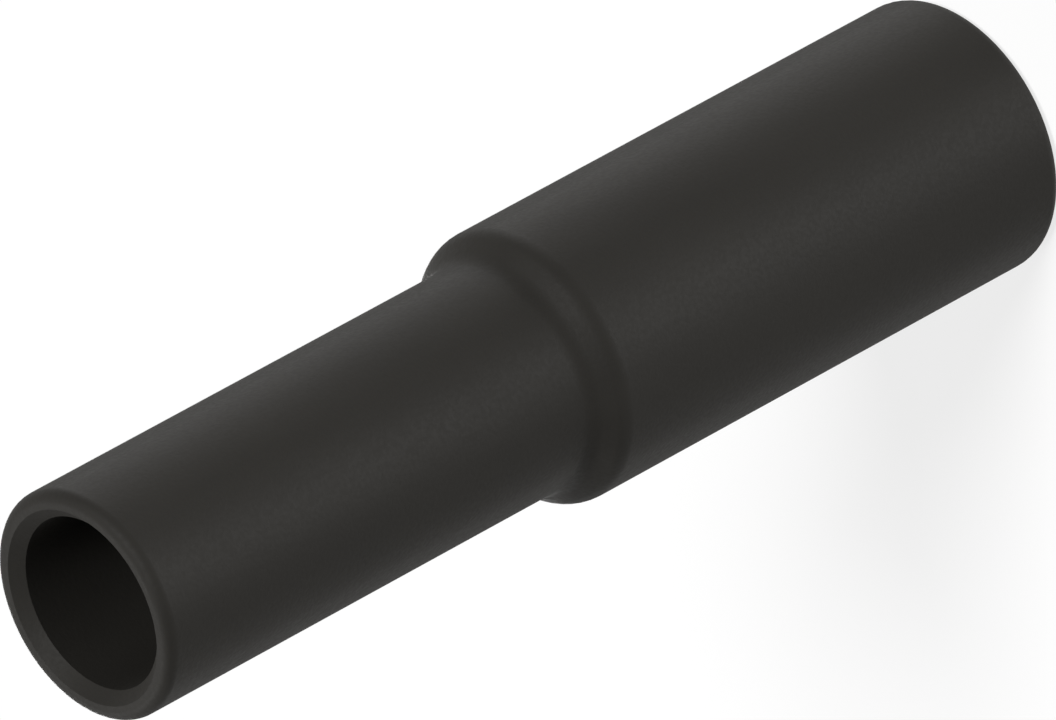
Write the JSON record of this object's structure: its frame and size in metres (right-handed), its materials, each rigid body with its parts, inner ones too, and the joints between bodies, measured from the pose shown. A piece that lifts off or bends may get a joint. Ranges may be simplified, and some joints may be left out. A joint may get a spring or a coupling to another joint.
{
  "type": "reducing push-fit pipe coupling",
  "caption": "Hollow stepped sleeve whose plain round stubs push into push-fit fittings of different tube sizes and join them.",
  "frame": {"origin": "centre of the large end's face, on the axis of the bore", "axes": "+Z along the bore from the large end up to the small end; the sleeve is round, so +X and +Y are any two directions across it"},
  "size_m": [0.012, 0.012, 0.0497],
  "materials": {
    "black_plastic": "satin black moulded plastic with a fine even grain"
  },
  "bodies": {
    "root": {"stepped_sleeve": "black_plastic"}
  },
  "joints": []
}
